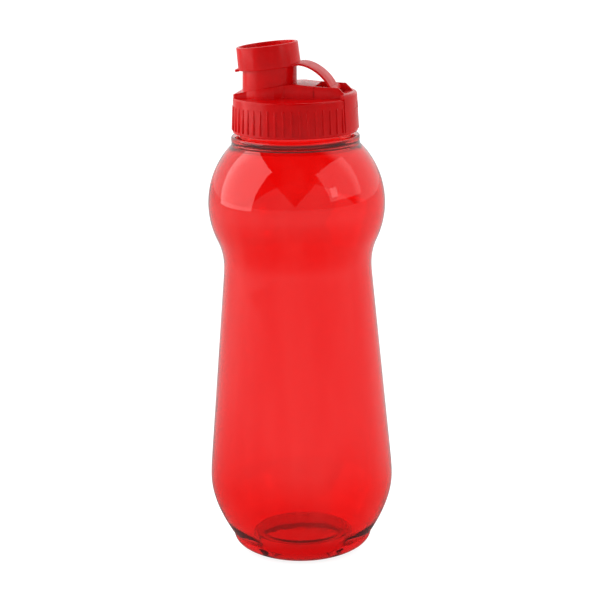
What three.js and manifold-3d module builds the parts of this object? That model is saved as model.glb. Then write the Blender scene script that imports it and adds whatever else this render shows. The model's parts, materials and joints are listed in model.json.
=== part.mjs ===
// Sports squeeze bottle: a blown bottle, a screw cap with a drinking spout, and a spout cap
// on a strap that pivots between two ears of the screw cap.
//
// Millimetres, +Z up. The origin is on the bottle's axis, on the plane that it stands on.
// The spout is at -X and the strap's pivot is at +X.

import * as THREE from "three";
import { mergeVertices } from "three/addons/utils/BufferGeometryUtils.js";
import Module from "manifold-3d";

// ---------------------------------------------------------------- driving dimensions

// Bottle body, from the floor up
const bellyRadius = 40.4;
const waistRadius = 32.4;
const bulbRadius = 38.6;
const footRadius = 30.7;
const ringOuterRadius = 22.3;
const ringWidth = 1.2;
const footHeight = 7.8;
const bellyAboveFoot = 26.4;
const waistAboveBelly = 95.4;
const bulbAboveWaist = 27.4;
const bulbArcRadius = 36.5;
const bellyFlare = 0.66; // outward run per unit of height where the foot meets the belly
const bellyBlend = 3.5; // height from the belly's widest ring to the corner that its curve rounds
const waistBlend = 2; // height from the corner under the waist to the waist
const taperBlend = 0.066; // share of the straight taper that each of those curves takes up
const bulbArcShare = 0.58; // share of the waist-to-bulb height that the bulb's own arc takes up
const footPull = { inset: 0.2, share: 0.4 }; // where the foot's curve bends most
const pushUpHeight = 7.4;
const pushUpCrown = 0.8;
const pushUpDraft = 0.4;
const pushUpRound = 1.8;
const bottleWall = 1.2;
const baseWall = 1.6;

// Neck and thread
const neckRadius = 24.3;
const neckWall = 1.6;
const neckAboveBead = 13.3;
const neckRootHeight = 0.75;
const grooveDepth = 0.5;
const grooveHeight = 0.7;
const neckLipRound = 0.4;
const beadThickness = 2.6;
const beadRound = 0.8;
const beadOverhang = 3.6;
const threadPitch = 4;
const threadRadius = 0.9;
const threadStandOff = 0.1;
const threadTurns = 1.25;
const threadBelowRim = 2.2;
const threadClearance = 0.4;

// Screw cap
const capAboveBead = 1.5;
const skirtWall = 1.4;
const skirtDraft = 0.35;
const skirtEdgeRound = 0.8;
const deckThickness = 1.7;
const ribPositions = 48;
const ribWidth = 0.9;
const ribProudTop = 0.25;
const ribProudBottom = 0.55;
const ribTopMargin = 3.7;
const ribBottomMargin = 1.1;
const panelHalfAngle = 27.5;
const panelEdgeRound = 1.3;
const panelBackRun = 0.8;
const panelNotch = { depth: 0.5, width: 8, height: 2.6, belowLedge: 2.3 };

// Raised bar across the deck; heights are above the deck's ledge
const barWall = 1.6;
const barInset = 0.15;
const islandMargin = 1;
const shoulderRise = 2.1;
const shoulderRound = { below: 0.6, above: 0.3 };
const archPeakX = 3;
const archPeakRise = 5.9;
const archLead = { left: 9, right: 7, dip: 0.1, hump: 0.4 };
const earRise = 4.6;
const earChamferRun = 2.8;
const earFootInset = 3.1;
const panelRise = 1.9;
const panelStep = 0.15;
const earThickness = 1.3;
const channelFloorRise = 0.9;
const channelBehindPivot = 7;
const channelLip = 5.3;

// Spout
const spoutX = -10.95;
const spoutRadius = 11.8;
const spoutWall = 2.4;
const spoutRise = 12.4; // from the ledge to the slanted mouth's centre
const mouthTilt = 5.8;
const lipHeight = 4;
const lipSetIn = 0.5;
const lipTaper = 0.7;

// Spout cap, in its own tilted frame
const capWall = 1.1;
const capSideClearance = 0.7;
const capHeight = 10;
const capDraft = 0.2;
const capRimWidth = 1.3;
const capRimRound = 0.4;
const capRimSlope = 0.3;
const capRecess = 1.8;
const capCeiling = 1.5;
const sealWidth = 1.8;
const tabLength = 1.3;
const tabWidth = 7;
const tabThickness = 1.1;

// Strap and its pivot
const strapWidth = 15.5;
const strapThickness = 0.9;
const strapSideClearance = 0.85;
const strapLeave = { run: 5, drop: 0.2 }; // how the strap leaves the spout cap
const strapArrive = { run: 2.6, rise: 5.8 }; // how it comes down to the pivot
const hingeGap = 0.35;
const hingeLandLength = 0.25;
const pivotInset = 9.45; // from the skirt's top edge
const pivotRise = 3;
const barrelRadius = 1.7;
const trunnionRadius = 1.2;
const trunnionLength = 0.55;
const trunnionClearance = 0.2;

// Sealing ring
const sealThickness = 1.2;
const sealInset = 0.5;
const seatGap = 0.3;

// Facets
const bodySides = 40;
const capSides = 72;
const spoutSides = 44;
const pinSides = 20;

// ---------------------------------------------------------------- heights worked out

const bellyHeight = footHeight + bellyAboveFoot;
const waistHeight = bellyHeight + waistAboveBelly;
const bulbHeight = waistHeight + bulbAboveWaist;
const beadRadius = neckRadius + beadOverhang;
const bulbArcCentre = bulbRadius - bulbArcRadius;
const shoulderHeight = bulbHeight + Math.sqrt(bulbArcRadius ** 2 - (beadRadius - bulbArcCentre) ** 2);
const beadBottom = shoulderHeight + neckRootHeight + grooveHeight;
const beadTop = beadBottom + beadThickness;
const neckTop = beadTop + neckAboveBead;

const capBottom = beadTop + capAboveBead;
const deckUnderside = neckTop + sealThickness + 2 * seatGap;
const ledge = deckUnderside + deckThickness;
const threadHeight = threadRadius + threadStandOff;
const skirtInnerRadius = neckRadius + threadHeight + threadClearance;
const skirtBottomRadius = skirtInnerRadius + skirtWall;
const skirtTopRadius = skirtBottomRadius - skirtDraft;
const panelBottomRadius = skirtBottomRadius + ribProudBottom;
const panelTopRadius = skirtTopRadius + ribProudTop;

const channelHalfWidth = 0.5 * strapWidth + strapSideClearance;
const barHalfWidth = channelHalfWidth + earThickness;
const pivotX = skirtTopRadius - pivotInset;
const pivotHeight = ledge + pivotRise;
const channelStartX = pivotX - channelBehindPivot;
const rootDepth = 0.5; // how far a joined piece of the cap reaches into what it stands on

const mouthFrame = new THREE.Matrix4().makeRotationY(THREE.MathUtils.degToRad(-mouthTilt));
mouthFrame.setPosition(spoutX + hingeGap / 2, 0, ledge + spoutRise);

const spoutBoreRadius = spoutRadius - spoutWall;
const lipBaseRadius = spoutRadius - lipSetIn;
const lipTopRadius = lipBaseRadius - lipTaper;
const capInnerRadius = spoutRadius + capSideClearance;
const capBottomRadius = capInnerRadius + capWall;
const capTopRadius = capBottomRadius - capDraft;
const landEnd = capBottomRadius + hingeLandLength;

// ---------------------------------------------------------------- solids and shapes

const wasm = await Module();
wasm.setup();

/** Turns a closed geometry into a solid, with its faces pointing out. */
function solidOf(geometry) {
  const bare = geometry.clone();
  bare.deleteAttribute("normal");
  bare.deleteAttribute("uv");
  const merged = mergeVertices(bare, 1e-4);
  const position = merged.attributes.position;
  const corners = [];
  let volume = 0;
  for (let i = 0; i < merged.index.count; i += 3) {
    const ids = [0, 1, 2].map((k) => merged.index.getX(i + k));
    if (new Set(ids).size < 3) continue;
    const [a, b, c] = ids.map((id) => new THREE.Vector3().fromBufferAttribute(position, id));
    volume += a.dot(b.cross(c));
    corners.push(ids);
  }
  const triVerts = new Uint32Array(corners.flatMap((ids) => (volume < 0 ? ids.toReversed() : ids)));
  const vertProperties = new Float32Array(position.array);
  return new wasm.Manifold(new wasm.Mesh({ numProp: 3, vertProperties, triVerts }));
}

/** Turns a solid back into a geometry. */
function geometryOf(solid) {
  const mesh = solid.getMesh();
  const geometry = new THREE.BufferGeometry();
  geometry.setAttribute("position", new THREE.BufferAttribute(mesh.vertProperties, 3));
  geometry.setIndex(new THREE.BufferAttribute(mesh.triVerts, 1));
  return geometry;
}

/** Turns an outline of (radius, height) points about the Z axis. */
function turned(points, sides) {
  const outline = points.map(([radius, height]) => new THREE.Vector2(radius, height));
  return new THREE.LatheGeometry(outline, sides).rotateX(Math.PI / 2);
}

/** A ring or disc whose outline doesn't touch the axis closes on its first point. */
function turnedRing(points, sides) {
  return turned([...points, points[0]], sides);
}

/** Makes a plate from an outline in the XZ plane, centred on the Y = 0 plane. */
function plate(shape, width, curveSegments = 12) {
  const geometry = new THREE.ExtrudeGeometry(shape, { depth: width, bevelEnabled: false, curveSegments });
  return geometry.rotateX(Math.PI / 2).translate(0, width / 2, 0);
}

/** Makes an upright cylinder or cone between two heights. */
function upright(x, bottom, top, bottomRadius, topRadius, sides) {
  const geometry = new THREE.CylinderGeometry(topRadius, bottomRadius, top - bottom, sides);
  return geometry.rotateX(Math.PI / 2).translate(x, 0, (top + bottom) / 2);
}

/** Makes a block from its limits along each axis. */
function block(x, y, z) {
  const geometry = new THREE.BoxGeometry(x[1] - x[0], y[1] - y[0], z[1] - z[0]);
  return geometry.translate((x[0] + x[1]) / 2, (y[0] + y[1]) / 2, (z[0] + z[1]) / 2);
}

/** Makes a round pin along Y, centred on the Y = 0 plane. */
function crossPin(x, z, radius, length) {
  return new THREE.CylinderGeometry(radius, radius, length, pinSides).translate(x, 0, z);
}

/** Moves each point of an outline sideways, to its left as the outline runs. */
function offset(points, distance) {
  return points.map((point, i) => {
    const before = points[Math.max(i - 1, 0)];
    const after = points[Math.min(i + 1, points.length - 1)];
    const run = new THREE.Vector2(after[0] - before[0], after[1] - before[1]).normalize();
    return [point[0] - run.y * distance, point[1] + run.x * distance];
  });
}

/** Lists the points of a path as pairs. */
function pairs(path, divisions) {
  return path.getPoints(divisions).map((point) => [point.x, point.y]);
}

/** A right-hand helix about the Z axis. */
class Helix extends THREE.Curve {
  constructor(radius, bottom, turns) {
    super();
    Object.assign(this, { radius, bottom, turns });
  }

  getPoint(t, target = new THREE.Vector3()) {
    const angle = 2 * Math.PI * this.turns * t;
    const height = this.bottom + threadPitch * this.turns * t;
    return target.set(this.radius * Math.cos(angle), this.radius * Math.sin(angle), height);
  }
}

/** Makes one round-backed thread ridge. */
function threadRidge(radius, bottom) {
  const section = new THREE.Shape().absarc(0, 0, threadRadius, 0, 2 * Math.PI);
  const extrudePath = new Helix(radius, bottom, threadTurns);
  const steps = Math.round(26 * threadTurns);
  return new THREE.ExtrudeGeometry(section, { extrudePath, steps, curveSegments: 4 });
}

// ---------------------------------------------------------------- bottle

/** The outside of the body, from the standing ring to the shoulder. */
function bodyOutline(divisions) {
  const bellyCorner = new THREE.Vector2(bellyRadius, bellyHeight + bellyBlend);
  const waistCorner = new THREE.Vector2(waistRadius, waistHeight - waistBlend);
  const taperStart = bellyCorner.clone().lerp(waistCorner, taperBlend);
  const taperEnd = waistCorner.clone().lerp(bellyCorner, taperBlend);
  const arcStart = -Math.asin((bulbArcShare * bulbAboveWaist) / bulbArcRadius);
  const arcEnd = Math.asin((shoulderHeight - bulbHeight) / bulbArcRadius);
  const arcFoot = new THREE.Vector2(
    bulbArcCentre + bulbArcRadius * Math.cos(arcStart),
    bulbHeight + bulbArcRadius * Math.sin(arcStart),
  );
  const arcCornerHeight = arcFoot.y + (arcFoot.x - waistRadius) / Math.tan(arcStart);
  const path = new THREE.Path();
  path.moveTo(ringOuterRadius, 0);
  path.quadraticCurveTo(footRadius - footPull.inset, footPull.share * footHeight, footRadius, footHeight);
  path.quadraticCurveTo(
    bellyRadius, footHeight + (bellyRadius - footRadius) / bellyFlare,
    bellyRadius, bellyHeight,
  );
  path.quadraticCurveTo(bellyCorner.x, bellyCorner.y, taperStart.x, taperStart.y);
  path.lineTo(taperEnd.x, taperEnd.y);
  path.quadraticCurveTo(waistCorner.x, waistCorner.y, waistRadius, waistHeight);
  path.quadraticCurveTo(waistRadius, arcCornerHeight, arcFoot.x, arcFoot.y);
  path.absarc(bulbArcCentre, bulbHeight, bulbArcRadius, arcStart, arcEnd);
  return pairs(path, divisions);
}

function bottle() {
  const outside = bodyOutline(4);
  const bore = neckRadius - neckWall;
  const ringInner = ringOuterRadius - ringWidth;
  const pushUpRadius = ringInner - pushUpDraft;
  const pushUp = new THREE.Path();
  pushUp.moveTo(0, pushUpHeight + pushUpCrown);
  pushUp.lineTo(pushUpRadius - pushUpRound, pushUpHeight);
  pushUp.quadraticCurveTo(pushUpRadius, pushUpHeight, pushUpRadius, pushUpHeight - pushUpRound);
  pushUp.lineTo(ringInner, 0);
  const under = pairs(pushUp, 3);
  const neck = [
    [beadRadius, beadBottom - grooveHeight],
    [beadRadius - grooveDepth, beadBottom - 0.5 * grooveHeight],
    [beadRadius - 0.25 * beadRound, beadBottom],
    [beadRadius, beadBottom + 0.75 * beadRound],
    [beadRadius, beadTop - beadRound],
    [beadRadius - beadRound, beadTop],
    [neckRadius, beadTop],
    [neckRadius, neckTop - neckLipRound],
    [neckRadius - neckLipRound, neckTop],
    [bore, neckTop],
    [bore, beadBottom],
  ];
  const inside = offset(bodyOutline(3), bottleWall).slice(1).reverse();
  const floor = offset(under, baseWall).slice(1, -1).reverse();
  const valley = [[ringOuterRadius + 0.5 * ringWidth, baseWall]];
  const crown = [[0, pushUpHeight + pushUpCrown + baseWall]];
  const outline = [...under, ...outside, ...neck, ...inside, ...valley, ...floor, ...crown];
  const ridgeBottom = neckTop - threadBelowRim - threadPitch * threadTurns;
  const ridge = threadRidge(neckRadius + threadStandOff, ridgeBottom);
  return solidOf(turned(outline, bodySides)).add(solidOf(ridge));
}

// ---------------------------------------------------------------- sealing ring

function sealingRing() {
  const bottom = neckTop + seatGap;
  const top = bottom + sealThickness;
  const inner = neckRadius - neckWall - sealInset;
  const outer = skirtInnerRadius - seatGap;
  const outline = [[inner, bottom], [outer, bottom], [outer, top], [inner, top]];
  return solidOf(turnedRing(outline, bodySides));
}

// ---------------------------------------------------------------- screw cap

/** Adds the arch from the left shoulder to its peak, lowered by `drop`. */
function archTo(shape, left, drop) {
  shape.lineTo(left, ledge + shoulderRise - drop);
  shape.quadraticCurveTo(
    archPeakX - archLead.left, ledge + archPeakRise - archLead.dip - drop,
    archPeakX, ledge + archPeakRise - drop,
  );
}

/** The raised bar's outline in the XZ plane: shoulder, arch, ears and hinge end. */
function barShape(base, reach) {
  const archStart = spoutX - spoutRadius;
  const earTop = skirtTopRadius - earChamferRun - earFootInset;
  const shape = new THREE.Shape();
  shape.moveTo(-reach, base);
  shape.lineTo(-reach, ledge - shoulderRound.below);
  shape.quadraticCurveTo(
    -reach, ledge + shoulderRise - shoulderRound.above,
    archStart, ledge + shoulderRise,
  );
  archTo(shape, archStart, 0);
  shape.quadraticCurveTo(
    archPeakX + archLead.right, ledge + earRise + archLead.hump,
    earTop, ledge + earRise,
  );
  shape.lineTo(earTop + earChamferRun, ledge + panelRise - panelStep);
  shape.lineTo(reach + 1, ledge + panelRise - panelStep);
  shape.lineTo(reach + 1, base);
  return shape;
}

/** The skirt and the flat deck, without the ribs. */
function skirtAndDeck() {
  const outline = [
    [skirtInnerRadius, capBottom],
    [skirtBottomRadius, capBottom],
    [skirtTopRadius, ledge - skirtEdgeRound],
    [skirtTopRadius - 0.25 * skirtEdgeRound, ledge - 0.25 * skirtEdgeRound],
    [skirtTopRadius - skirtEdgeRound, ledge],
    [0, ledge],
    [0, deckUnderside],
    [skirtInnerRadius, deckUnderside],
  ];
  const points = [...outline.slice(6), ...outline.slice(0, 6)];
  return solidOf(turned(points, capSides));
}

/** The raised bar, with a round island under the spout. */
function raisedBar() {
  const reach = skirtTopRadius - barInset;
  const base = ledge - 0.75 * deckThickness;
  const heights = [base, ledge + 2 * archPeakRise];
  const islandRadius = spoutRadius + islandMargin;
  const arch = solidOf(plate(barShape(base, reach), 4 * barHalfWidth, 8));
  const bar = solidOf(block([-reach - 1, reach + 1], [-barHalfWidth, barHalfWidth], heights));
  const island = solidOf(upright(spoutX, ...heights, islandRadius, islandRadius, spoutSides));
  const rim = solidOf(upright(0, base - 1, heights[1] + 1, reach, reach, capSides));
  return bar.add(island).intersect(arch).intersect(rim);
}

/** The finger ribs, all round except at the smooth panel by the hinge. */
function ribs(body) {
  const bottom = capBottom + ribBottomMargin;
  const top = ledge - ribTopMargin;
  const radiusAt = (height) => {
    const share = (height - capBottom) / (ledge - skirtEdgeRound - capBottom);
    return THREE.MathUtils.lerp(skirtBottomRadius, skirtTopRadius, share);
  };
  const shape = new THREE.Shape();
  shape.moveTo(skirtInnerRadius + 0.5 * skirtWall, bottom);
  shape.lineTo(radiusAt(bottom) + ribProudBottom, bottom);
  shape.lineTo(radiusAt(top) + ribProudTop, top);
  shape.lineTo(skirtInnerRadius + 0.5 * skirtWall, top + ribProudTop);
  const rib = plate(shape, ribWidth);
  let ribbed = body;
  for (let i = 0; i < ribPositions; i += 1) {
    const angle = (360 * i) / ribPositions;
    if (Math.min(angle, 360 - angle) < panelHalfAngle - 0.1) continue;
    ribbed = ribbed.add(solidOf(rib.clone().rotateZ(THREE.MathUtils.degToRad(angle))));
  }
  return ribbed;
}

/** The smooth, slightly proud panel at the hinge. */
function hingePanel() {
  const inner = skirtInnerRadius + 0.4 * skirtWall;
  const bottom = capBottom + ribBottomMargin;
  const top = ledge + panelRise;
  const outline = [
    [inner, bottom],
    [panelBottomRadius, bottom],
    [panelTopRadius, top - panelEdgeRound],
    [panelTopRadius - 0.3 * panelEdgeRound, top - 0.3 * panelEdgeRound],
    [panelTopRadius - panelEdgeRound, top],
    [panelTopRadius - panelEdgeRound - panelBackRun, top],
    [panelTopRadius - panelEdgeRound - panelBackRun, ledge - 0.5 * deckThickness],
    [inner, ledge - 0.5 * deckThickness],
  ];
  const side = 2 * panelBottomRadius;
  const halfAngle = THREE.MathUtils.degToRad(panelHalfAngle);
  const wedge = new THREE.Shape();
  wedge.moveTo(0, 0);
  wedge.lineTo(side * Math.cos(halfAngle), -side * Math.sin(halfAngle));
  wedge.lineTo(side * Math.cos(halfAngle), side * Math.sin(halfAngle));
  const sector = new THREE.ExtrudeGeometry(wedge, { depth: 2 * top, bevelEnabled: false });
  return solidOf(turnedRing(outline, capSides)).intersect(solidOf(sector));
}

/** The shallow notch moulded into the panel. */
function notch() {
  const { depth, width, height, belowLedge } = panelNotch;
  const top = ledge - belowLedge;
  const across = [-width / 2, width / 2];
  return solidOf(block([panelTopRadius - depth, panelBottomRadius + 1], across, [top - height, top]));
}

/** The outside of the spout: an upright tube, cut on a slant, with a narrower slanted lip. */
function spoutOutside() {
  const top = ledge + spoutRise + spoutRadius;
  const wide = 3 * spoutRadius;
  const tube = solidOf(upright(spoutX, ledge - rootDepth, top, spoutRadius, spoutRadius, spoutSides));
  const aboveMouth = block([-wide, wide], [-wide, wide], [seatGap, wide]).applyMatrix4(mouthFrame);
  const lip = upright(0, seatGap - 1, seatGap + lipHeight, lipBaseRadius, lipTopRadius, spoutSides);
  return tube.subtract(solidOf(aboveMouth)).add(solidOf(lip.applyMatrix4(mouthFrame)));
}

/** The way through the spout, from under the deck to the lip. */
function spoutBore() {
  const bore = spoutBoreRadius;
  const low = upright(spoutX, deckUnderside - 1, ledge + spoutRise, bore, bore, spoutSides);
  const high = upright(0, -rootDepth, 2 * lipHeight, bore, bore, spoutSides);
  return solidOf(low).add(solidOf(high.applyMatrix4(mouthFrame)));
}

/** The hollow under the bar, which keeps the bar's wall even. */
function barHollow() {
  const left = spoutX - spoutBoreRadius - 1;
  const right = channelStartX - barWall;
  const shape = new THREE.Shape();
  shape.moveTo(left, deckUnderside - 1);
  archTo(shape, left, barWall);
  shape.lineTo(right, ledge + earRise - barWall);
  shape.lineTo(right, deckUnderside - 1);
  return solidOf(plate(shape, 2 * (barHalfWidth - barWall), 6));
}

/** The channel between the ears, open to the right over a low lip. */
function strapChannel() {
  const top = ledge + 2 * archPeakRise;
  const sides = [-channelHalfWidth, channelHalfWidth];
  const lipStart = skirtTopRadius - channelLip;
  const deep = block([channelStartX, lipStart], sides, [ledge + channelFloorRise, top]);
  const lipRise = panelRise - 2 * panelStep;
  const shallow = block([lipStart - 1, 2 * skirtTopRadius], sides, [ledge + lipRise, top]);
  return solidOf(deep).add(solidOf(shallow));
}

function screwCap() {
  const ridgeBottom = neckTop - threadBelowRim - threadPitch * (threadTurns + 0.5);
  const ridge = solidOf(threadRidge(skirtInnerRadius - threadStandOff, ridgeBottom));
  const socketLength = 2 * (channelHalfWidth + trunnionLength + trunnionClearance);
  const sockets = crossPin(pivotX, pivotHeight, trunnionRadius + trunnionClearance, socketLength);
  const shell = ribs(skirtAndDeck().add(raisedBar()));
  return shell
    .add(hingePanel())
    .subtract(notch())
    .subtract(strapChannel())
    .add(spoutOutside())
    .subtract(barHollow())
    .subtract(spoutBore())
    .subtract(solidOf(sockets))
    .add(ridge);
}

// ---------------------------------------------------------------- spout cap

function spoutCap() {
  const ceiling = capHeight - capRecess - capCeiling;
  const sealTop = seatGap + lipHeight + seatGap;
  const rimInner = capTopRadius - capRimWidth;
  const outline = [
    [0, capHeight - capRecess],
    [rimInner - capRimSlope, capHeight - capRecess],
    [rimInner, capHeight - capRimSlope],
    [rimInner + capRimSlope, capHeight],
    [capTopRadius - capRimRound, capHeight],
    [capTopRadius, capHeight - capRimRound],
    [capBottomRadius, 0],
    [capInnerRadius, 0],
    [capInnerRadius, ceiling],
    [lipTopRadius, ceiling],
    [lipTopRadius, sealTop],
    [lipTopRadius - sealWidth, sealTop],
    [lipTopRadius - sealWidth, ceiling],
    [0, ceiling],
  ];
  const halfStrap = 0.5 * strapWidth;
  const halfTab = 0.5 * tabWidth;
  const tabLimits = [-0.4 * tabThickness, 0.6 * tabThickness];
  const land = block([0, landEnd], [-halfStrap, halfStrap], [0, strapThickness]);
  const tab = block([-capBottomRadius - tabLength, 0], [-halfTab, halfTab], tabLimits);
  const inside = upright(0, -1, ceiling, capInnerRadius, capInnerRadius, spoutSides);
  const flanges = solidOf(land).add(solidOf(tab)).subtract(solidOf(inside));
  return solidOf(turned(outline, spoutSides)).add(flanges);
}

// ---------------------------------------------------------------- strap

/** The strap's band in the XZ plane: its outer face from the spout cap to the pivot, and its back. */
function strapShape() {
  const corner = new THREE.Vector3(landEnd + hingeGap, 0, strapThickness).applyMatrix4(mouthFrame);
  const start = new THREE.Vector2(corner.x, corner.z);
  const end = new THREE.Vector2(pivotX, pivotHeight + barrelRadius - 0.5 * strapThickness);
  const leave = new THREE.Vector2(start.x + strapLeave.run, start.y - strapLeave.drop);
  const arrive = new THREE.Vector2(end.x - strapArrive.run, end.y + strapArrive.rise);
  const outer = pairs(new THREE.CubicBezierCurve(start, leave, arrive, end), 16);
  const inner = offset(outer, -strapThickness).reverse();
  return new THREE.Shape([...outer, ...inner].map(([x, z]) => new THREE.Vector2(x, z)));
}

function tetherStrap() {
  const trunnionReach = channelHalfWidth + trunnionLength;
  const band = plate(strapShape(), strapWidth);
  const barrel = crossPin(pivotX, pivotHeight, barrelRadius, strapWidth);
  const trunnions = crossPin(pivotX, pivotHeight, trunnionRadius, 2 * trunnionReach);
  return solidOf(band).add(solidOf(barrel)).add(solidOf(trunnions));
}

// ---------------------------------------------------------------- assembly

const tintedPlastic = new THREE.MeshStandardMaterial({
  color: 0xd8141a, roughness: 0.08, metalness: 0, transparent: true, opacity: 0.55,
});
const capPlastic = new THREE.MeshStandardMaterial({ color: 0xb4060c, roughness: 0.35, metalness: 0 });
const strapPlastic = new THREE.MeshStandardMaterial({ color: 0xb4060c, roughness: 0.4, metalness: 0 });
const sealRubber = new THREE.MeshStandardMaterial({ color: 0xe6e2dc, roughness: 0.7, metalness: 0 });

/** Makes a named mesh from a solid. */
function piece(name, solid, material) {
  const mesh = new THREE.Mesh(geometryOf(solid), material);
  mesh.name = name;
  return mesh;
}

const model = new THREE.Group();
model.add(piece("bottle", bottle(), tintedPlastic));
model.add(piece("sealing_ring", sealingRing(), sealRubber));
model.add(piece("screw_cap", screwCap(), capPlastic));
model.add(piece("tether_strap", tetherStrap(), strapPlastic));

const spoutCapPlace = new THREE.Group();
spoutCapPlace.applyMatrix4(mouthFrame);
spoutCapPlace.add(piece("spout_cap", spoutCap(), capPlastic));
model.add(spoutCapPlace);

export default model;
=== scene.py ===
"""The finished look of a red sports squeeze bottle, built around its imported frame.

The bottle is a blown, translucent body. Its lid is a ribbed screw cap with a raised bar, a slanted
spout, a spout cap and a strap that turns between two ears. Lengths are in millimetres in the size
classes below and become metres when a mesh is made.
"""

import json
import logging
import math
from dataclasses import dataclass
from enum import Enum
from typing import Sequence

import bpy
from mathutils import Matrix, Vector

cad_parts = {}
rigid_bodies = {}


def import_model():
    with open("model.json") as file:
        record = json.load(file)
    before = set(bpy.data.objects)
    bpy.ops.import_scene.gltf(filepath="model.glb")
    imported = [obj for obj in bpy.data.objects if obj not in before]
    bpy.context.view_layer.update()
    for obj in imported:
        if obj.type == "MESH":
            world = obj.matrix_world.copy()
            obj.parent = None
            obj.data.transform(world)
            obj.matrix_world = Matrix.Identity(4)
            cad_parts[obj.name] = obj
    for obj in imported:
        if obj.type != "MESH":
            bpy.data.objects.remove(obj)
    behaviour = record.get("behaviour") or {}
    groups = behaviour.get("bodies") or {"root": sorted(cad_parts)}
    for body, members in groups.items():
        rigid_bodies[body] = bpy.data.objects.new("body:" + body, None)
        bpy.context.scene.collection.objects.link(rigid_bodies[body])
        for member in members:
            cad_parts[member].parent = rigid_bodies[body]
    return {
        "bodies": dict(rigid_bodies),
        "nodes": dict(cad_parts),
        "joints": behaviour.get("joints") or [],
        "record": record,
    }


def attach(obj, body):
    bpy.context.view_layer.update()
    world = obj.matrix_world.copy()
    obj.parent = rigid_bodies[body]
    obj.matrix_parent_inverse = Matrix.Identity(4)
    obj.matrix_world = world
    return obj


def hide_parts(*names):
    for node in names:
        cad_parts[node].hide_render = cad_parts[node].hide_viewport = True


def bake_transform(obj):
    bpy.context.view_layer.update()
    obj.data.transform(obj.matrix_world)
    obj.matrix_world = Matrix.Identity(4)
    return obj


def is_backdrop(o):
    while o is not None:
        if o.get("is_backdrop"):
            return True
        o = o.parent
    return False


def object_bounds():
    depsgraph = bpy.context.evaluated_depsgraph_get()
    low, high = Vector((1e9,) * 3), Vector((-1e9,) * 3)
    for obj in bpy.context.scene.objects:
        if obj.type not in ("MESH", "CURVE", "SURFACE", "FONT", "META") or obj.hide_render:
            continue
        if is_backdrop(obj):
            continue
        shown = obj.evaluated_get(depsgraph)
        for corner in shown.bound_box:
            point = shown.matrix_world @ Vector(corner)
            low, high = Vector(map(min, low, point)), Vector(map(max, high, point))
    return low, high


log = logging.getLogger("squeeze_bottle")

MM = 0.001
FULL_TURN = 2.0 * math.pi
QUARTER_TURN = 0.5 * math.pi
SMOOTH_BELOW = 38.0

Point = tuple[float, float]
Colour = tuple[float, float, float]
Piece = bpy.types.Object
Tree = bpy.types.NodeTree
Socket = bpy.types.NodeSocket
Value = Socket | float | tuple[float, ...]


class Body(Enum):
    """The bodies of the frame that pieces ride on."""

    BOTTLE = "bottle"
    SEAL = "seal"
    CAP = "cap"
    STRAP = "strap"
    SPOUT_CAP = "spout_cap"


class Slot(Enum):
    """The record's material slots."""

    BOTTLE = "bottle_plastic"
    CAP = "cap_plastic"
    STRAP = "strap_plastic"
    SEAL = "seal_rubber"


class Along(Enum):
    """The axis that a flat outline is extruded along."""

    Y = "Y"
    Z = "Z"


# ---------------------------------------------------------------------------- sizes


@dataclass(frozen=True)
class BodySizes:
    """The blown body, from the floor up."""

    ring_outer: float = 22.3
    ring_width: float = 1.2
    ring_edge: float = 0.25
    foot_radius: float = 30.7
    foot_height: float = 7.8
    foot_inset: float = 0.2
    foot_share: float = 0.4
    belly_radius: float = 40.4
    belly_height: float = 34.2
    belly_flare: float = 0.66
    belly_blend: float = 3.5
    waist_radius: float = 32.4
    waist_height: float = 129.6
    waist_blend: float = 2.0
    taper_blend: float = 0.066
    bulb_radius: float = 38.6
    bulb_height: float = 157.0
    bulb_arc: float = 36.5
    bulb_share: float = 0.58
    push_up: float = 7.4
    push_up_crown: float = 0.8
    push_up_draft: float = 0.4
    push_up_round: float = 1.8
    wall: float = 1.2
    base_wall: float = 1.6
    heel_lumps: tuple[float, ...] = (-47.0, 66.0, 158.0)
    lump_depth: float = 0.5
    lump_rise: float = 0.4
    lump_spread: float = 9.0
    lump_band: Point = (3.0, 7.0)
    lump_inside: float = 22.5
    lump_skin: float = 0.7
    lump_facing: float = 0.975


@dataclass(frozen=True)
class NeckSizes:
    """The bead, the threaded neck and the thread."""

    radius: float = 24.3
    wall: float = 1.6
    above_bead: float = 13.3
    root: float = 0.75
    groove_depth: float = 0.5
    groove_height: float = 0.7
    bead_thickness: float = 2.6
    bead_overhang: float = 3.6
    bead_round: float = 0.8
    lip_round: float = 0.4
    bore_edge: float = 0.3
    thread_pitch: float = 4.0
    thread_radius: float = 0.9
    thread_proud: float = 0.1
    thread_steps: int = 110
    thread_turns: float = 1.25
    thread_below_rim: float = 2.2

    @property
    def bead_radius(self) -> float:
        """The outside of the bead."""
        return self.radius + self.bead_overhang


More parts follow.
